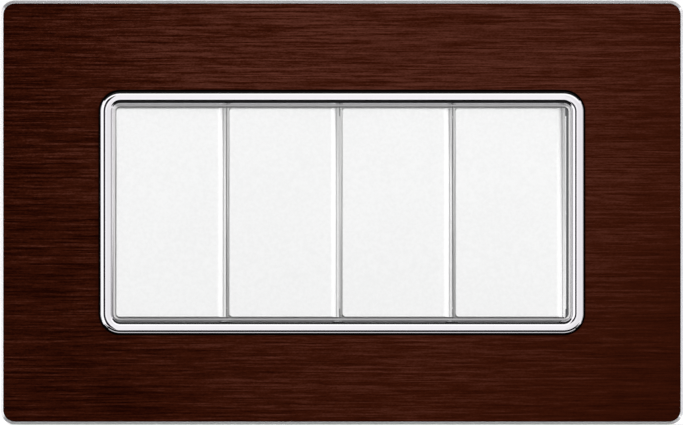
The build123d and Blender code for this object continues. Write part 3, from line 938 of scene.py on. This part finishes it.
@dataclass
class PlungerSpring:
    """A round-wire spring with closed ends, between a plunger and the roof of its key."""

    number: int
    module_pitch: float = 24.0 * MM
    row_offset: float = -0.45 * MM
    pivot_height: float = 4.4 * MM
    tilt_deg: float = 2.5
    low: float = -2.44 * MM
    high: float = 2.36 * MM
    coil_radius: float = 1.28 * MM
    wire_radius: float = 0.19 * MM
    turns: float = 5.0
    closed_turns: float = 0.8
    squashed: float = 0.56
    steps_in_turn: int = 36
    wire_sides: int = 12

    def pivot(self) -> np.ndarray:
        """Middle of the key's pivot axis.

        Returns:
            The point, in metres.
        """
        middle = (len(MODULES) + 1) / 2
        across = (self.number - middle) * self.module_pitch + self.row_offset
        return np.array([across, -self.pivot_height, 0.0])

    def outward(self) -> np.ndarray:
        """Direction out of the tilted key, along the spring."""
        tilt = math.radians(self.tilt_deg)
        return np.array([0.0, -math.cos(tilt), math.sin(tilt)])

    def coil(self) -> np.ndarray:
        """Rows along the wire and columns round it.

        The wire's middle turns round the spring's axis and climbs slowly over the closed turns at both ends
        and evenly between them. Each row is a circle about that middle, and the first and last are points.

        Returns:
            The grid of points, in metres.
        """
        along = self.outward()
        across = np.array([1.0, 0.0, 0.0])
        up = np.cross(along, across)
        turn = np.linspace(0.0, self.turns, int(self.turns * self.steps_in_turn) + 1)
        span = self.high - self.low - 2 * self.wire_radius
        ends = 2 * self.wire_radius * self.closed_turns
        stops = [0.0, self.closed_turns, self.turns - self.closed_turns, self.turns]
        climb = self.low + self.wire_radius + np.interp(turn, stops, [0.0, ends, span - ends, span])
        angle = 2 * math.pi * turn[:, None]
        spoke = np.cos(angle) * across + np.sin(angle) * up
        middle = self.pivot() + self.coil_radius * spoke + climb[:, None] * along
        round_wire = np.linspace(0.0, 2 * math.pi, self.wire_sides, endpoint=False)[None, :, None]
        skin = self.wire_radius * (np.cos(round_wire) * spoke[:, None] + np.sin(round_wire) * along)
        tube = middle[:, None] + skin
        caps = np.broadcast_to(middle[[0, -1], None], (2, self.wire_sides, 3))
        return np.concatenate([caps[:1], tube, caps[1:]])

    def build(self) -> bpy.types.Object:
        """Make the spring in place of its CAD node.

        Returns:
            The spring.
        """
        spring = shell_mesh(f"plunger_spring_{self.number}", [self.coil()])
        smooth(spring)
        Slot.SPRING_STEEL.dress(spring)
        Slot.SPRING_STEEL.label
        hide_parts(f"spring_{self.number}")
        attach(spring, f"rocker_{self.number}")
        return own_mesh(spring)


@dataclass
class CoverParts:
    """The face plate, its carrier, the ring, the mounting frame and the box screws, as CAD has them."""

    slots: tuple[tuple[str, Slot], ...] = (
        ("face_plate", Slot.BRUSHED_BROWN),
        ("plate_carrier", Slot.COVER_PLASTIC),
        ("bezel_ring", Slot.RING_CHROME),
        ("grid_frame", Slot.FRAME_PLASTIC),
        ("box_screws", Slot.SCREW_STEEL),
    )

    def dress(self) -> None:
        """Give each node its finish and smooth shading."""
        for node, slot in self.slots:
            slot.dress(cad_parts[node])
            smooth(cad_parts[node])
            log.info("%s wears %s", node, slot.label)


@dataclass
class SwitchModule:
    """One switch of the row."""

    number: int
    slots: tuple[tuple[str, Slot], ...] = (
        ("housing", Slot.HOUSING_WHITE),
        ("base", Slot.BASE_GREY),
        ("rocker", Slot.KEY_WHITE),
        ("plunger", Slot.PLUNGER_NYLON),
        ("spring", Slot.SPRING_STEEL),
        ("contact_blade", Slot.BLADE_COPPER),
        ("moving_tip", Slot.CONTACT_SILVER),
        ("pivot_terminal", Slot.TERMINAL_BRASS),
        ("fixed_terminal", Slot.TERMINAL_BRASS),
        ("fixed_tip", Slot.CONTACT_SILVER),
        ("terminal_screws", Slot.SCREW_STEEL),
    )

    def dress(self) -> None:
        """Give each node its finish and smooth shading."""
        for kind, slot in self.slots:
            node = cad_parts[f"{kind}_{self.number}"]
            slot.dress(node)
            smooth(node)
        log.info("switch %d dressed", self.number)


def stage_plane(name: str, corners: np.ndarray) -> bpy.types.Object:
    """Make a flat stage piece.

    Args:
        name: Its name.
        corners: Four points in order, in metres.

    Returns:
        The piece, linked to the scene.
    """
    mesh = bpy.data.meshes.new(name)
    mesh.from_pydata(corners, [], [(0, 1, 2, 3)])
    piece = linked(name, mesh)
    return piece


@dataclass(frozen=True)
class Board:
    """A flat glowing board that only mirrors see, spanned by two edges from one corner, in metres."""

    name: str
    corner: Vector
    along: Vector
    up: Vector
    glow: float
    tint: Colour = WHITE

    def build(self) -> None:
        """Make the board and hide it from all but mirrors."""
        first, side, rise = np.array(self.corner), np.array(self.along), np.array(self.up)
        board = stage_plane(self.name, np.array([first, first + side, first + side + rise, first + rise]))
        shade = bpy.data.materials.new(self.name)
        shade.use_nodes = True
        graph = Graph(shade.node_tree)
        sockets = {"Color": (*self.tint, 1.0), "Strength": self.glow}
        glowing = graph.node("ShaderNodeEmission", sockets=sockets)
        graph.node("ShaderNodeOutputMaterial", sockets={"Surface": glowing})
        board.data.materials.append(shade)
        board.visible_camera = False
        board.visible_diffuse = False
        board.visible_shadow = False
        board.visible_transmission = False
        board.visible_volume_scatter = False


@dataclass(frozen=True)
class Lamp:
    """A square soft lamp aimed at the plate and hidden from mirrors."""

    name: str
    place: Vector
    size: float
    watts: float

    def build(self) -> None:
        """Make the lamp and turn it to the plate."""
        data = bpy.data.lights.new(self.name, "AREA")
        data.size = self.size
        data.energy = self.watts
        lamp = linked(self.name, data)
        lamp.location = self.place
        lamp.rotation_mode = "QUATERNION"
        lamp.rotation_quaternion = lamp.location.to_track_quat("Z", "Y")
        lamp.visible_glossy = False


@dataclass
class Studio:
    """A plain floor, soft light, boards for the chrome to mirror, and the camera."""

    floor_size: float = 6.0
    floor_drop: float = -45.0 * MM
    camera_distance: float = 2.0
    camera_x: float = -0.0955 * MM
    view_width: float = 144.91 * MM
    sensor: float = 36.0
    fill: float = 0.262
    boards: tuple[Board, ...] = (
        Board(
            "left_strip",
            corner=(-0.408, -0.54, -0.33),
            along=(0.27, 0, 0),
            up=(0, 0, 0.66),
            glow=0.02,
            tint=(0.9, 0.72, 1.0),
        ),
        Board("left_softbox", corner=(-1.36, -0.54, -0.45), along=(0.93, 0, 0), up=(0, 0, 0.9), glow=1.25),
        Board("left_side", corner=(-1.4, -0.53, -0.6), along=(0, 0.28, 0), up=(0, 0, 1.2), glow=0.45),
        Board("left_wall", corner=(-1.4, -0.2, -0.6), along=(0, 0.55, 0), up=(0, 0, 1.2), glow=1.3),
        Board("right_front", corner=(0.08, -0.6, -0.3), along=(1.38, 0, 0), up=(0, 0, 0.6), glow=0.9),
        Board("right_side", corner=(1.2, -0.46, -0.6), along=(0, 0.66, 0), up=(0, 0, 1.2), glow=0.42),
        Board("upper_softbox", corner=(-0.95, -0.8, 0.46), along=(1.9, 0, 0), up=(0, 0, 0.5), glow=1.2),
        Board("ceiling", corner=(-1.5, -0.82, 1.0), along=(3.0, 0, 0), up=(0, 1.02, 0), glow=0.02),
        Board("low_band", corner=(-1.1, -0.8, -1.39), along=(2.2, 0, 0), up=(0, 0, 0.84), glow=0.0),
        Board("low_line", corner=(-0.075, -0.0275, -0.057), along=(0.15, 0, 0), up=(0, 0.0085, 0), glow=0.7),
        Board(
            "upper_flag",
            corner=(-0.0478, -0.0101, 0.0222),
            along=(0.0956, 0, 0),
            up=(0, 0.0009, 0),
            glow=0.02,
        ),
        Board("low_side", corner=(-1.5, -0.62, -1.0), along=(3.0, 0, 0), up=(0, 0.82, 0), glow=0.02),
    )
    lamps: tuple[Lamp, ...] = (
        Lamp("key_lamp", place=(1.9, -1.5, 0.6), size=1.2, watts=41.2),
        Lamp("front_lamp", place=(0.0, -1.9, 0.1), size=0.16, watts=10.3),
        Lamp("back_lamp", place=(-0.9, 1.7, 0.9), size=1.0, watts=40.0),
    )

    def world(self) -> None:
        """White to the camera, mirrors and glass, and a soft fill to everything else."""
        world = bpy.data.worlds.new("studio")
        world.use_nodes = True
        bpy.context.scene.world = world
        graph = Graph(world.node_tree)
        strength = graph.seen() * (1.0 - self.fill) + self.fill
        light = graph.node("ShaderNodeBackground", sockets={"Color": (*WHITE, 1.0), "Strength": strength})
        graph.node("ShaderNodeOutputWorld", sockets={"Surface": light})

    def floor(self) -> None:
        """A pale floor under the plate, which mirrors don't show."""
        half = self.floor_size / 2
        corners = np.array([(-half, -half, 0), (half, -half, 0), (half, half, 0), (-half, half, 0)])
        corners[:, 2] = self.floor_drop
        floor = stage_plane("floor", corners)
        floor.data.materials.append(PaleFloor().material())
        floor.visible_glossy = False

    def camera(self) -> None:
        """A long lens straight in front of the plate."""
        data = bpy.data.cameras.new("camera")
        data.sensor_width = self.sensor
        data.lens = self.sensor * self.camera_distance / self.view_width
        camera = linked("camera", data)
        camera.location = (self.camera_x, -SHEET_FRONT - self.camera_distance, 0.0)
        camera.rotation_euler = (math.pi / 2, 0.0, 0.0)
        bpy.context.scene.camera = camera

    def build(self) -> None:
        """Set the whole studio."""
        bpy.context.scene.view_settings.view_transform = "Standard"
        self.world()
        self.floor()
        for piece in (*self.boards, *self.lamps):
            piece.build()
        self.camera()


def main() -> None:
    """Dress the plate and set the studio."""
    logging.basicConfig(level=logging.INFO)
    CoverParts().dress()
    for number in MODULES:
        SwitchModule(number).dress()
    makers = [BezelRing(), BoxScrews(), *(PlungerSpring(number) for number in MODULES)]
    for maker in makers:
        log.info("%s made", maker.build().name)
    Studio().build()


if __name__ == "__main__":
    main()
